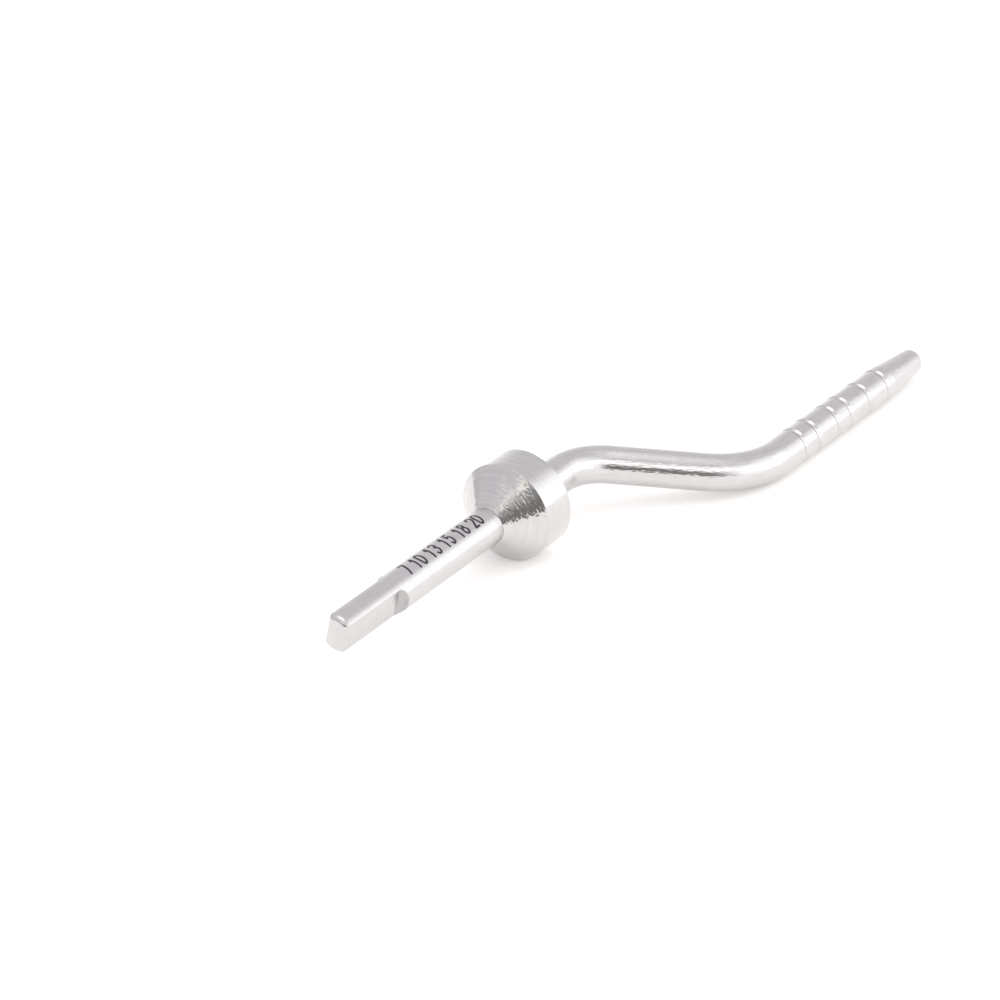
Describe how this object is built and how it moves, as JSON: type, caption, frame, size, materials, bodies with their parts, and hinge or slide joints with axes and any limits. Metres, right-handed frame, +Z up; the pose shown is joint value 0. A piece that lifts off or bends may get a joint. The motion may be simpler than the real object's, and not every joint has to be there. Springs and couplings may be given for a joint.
{
  "type": "osteotome insert",
  "caption": "Bent round-nosed dental osteotome insert with a flatted drive shank, a conical seat collar and an offset working rod with depth rings.",
  "frame": {"origin": "on the shank's axis at its shoulder, where the round shank meets the small end of the seat cone", "axes": "+X from the drive end to the working end, along the shank; +Z up from the table the insert lies on; the rod bends aside towards -Y"},
  "size_m": [0.0643, 0.0164, 0.0078],
  "materials": {
    "shank_steel": "fine-turned stainless steel, satin, with dark laser-marked numbers",
    "collar_steel": "turned stainless steel, fine circumferential tool marks on the band and coarser ones on the cone",
    "rod_steel": "polished stainless steel with faint drawing lines"
  },
  "bodies": {
    "root": {"drive_shank": "shank_steel", "seat_collar": "collar_steel", "working_rod": "rod_steel"}
  },
  "joints": []
}
